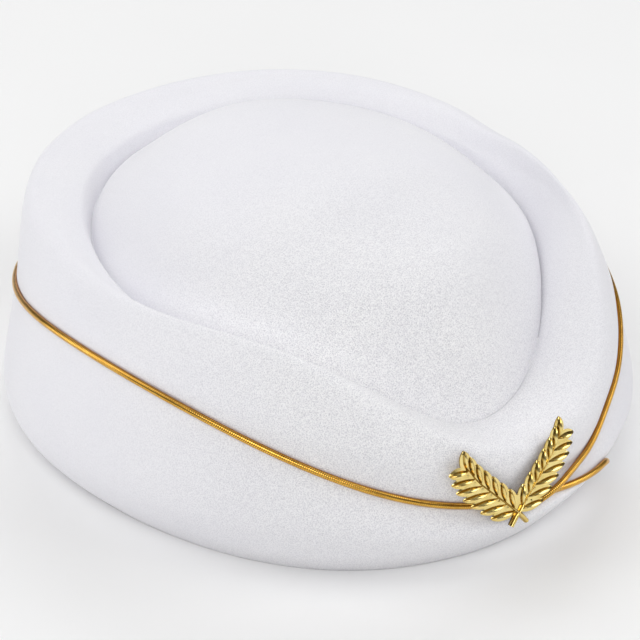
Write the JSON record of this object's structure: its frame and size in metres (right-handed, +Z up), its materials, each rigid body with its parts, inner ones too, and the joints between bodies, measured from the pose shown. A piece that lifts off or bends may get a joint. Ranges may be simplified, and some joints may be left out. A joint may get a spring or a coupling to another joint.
{
  "type": "flight attendant hat",
  "caption": "white felt flight attendant hat with a curved pinched rim round a domed crown, a gold trim cord along its waist and a gilt wheat badge at the front",
  "frame": {"origin": "on the table, under the middle of the whole hat's box", "axes": "+Z is up, the front of the hat faces -Y and the wearer's left is at +X"},
  "size_m": [0.1836, 0.2002, 0.0844],
  "materials": {
    "white_felt": "matt flocked felt",
    "gold_cord": "wound metallic thread",
    "polished_gold": "polished gilt",
    "pin_brass": "satin"
  },
  "bodies": {
    "root": {"felt_body": "white_felt", "trim_cord": "gold_cord", "wheat_badge": "polished_gold", "badge_pin": "pin_brass"}
  },
  "joints": []
}
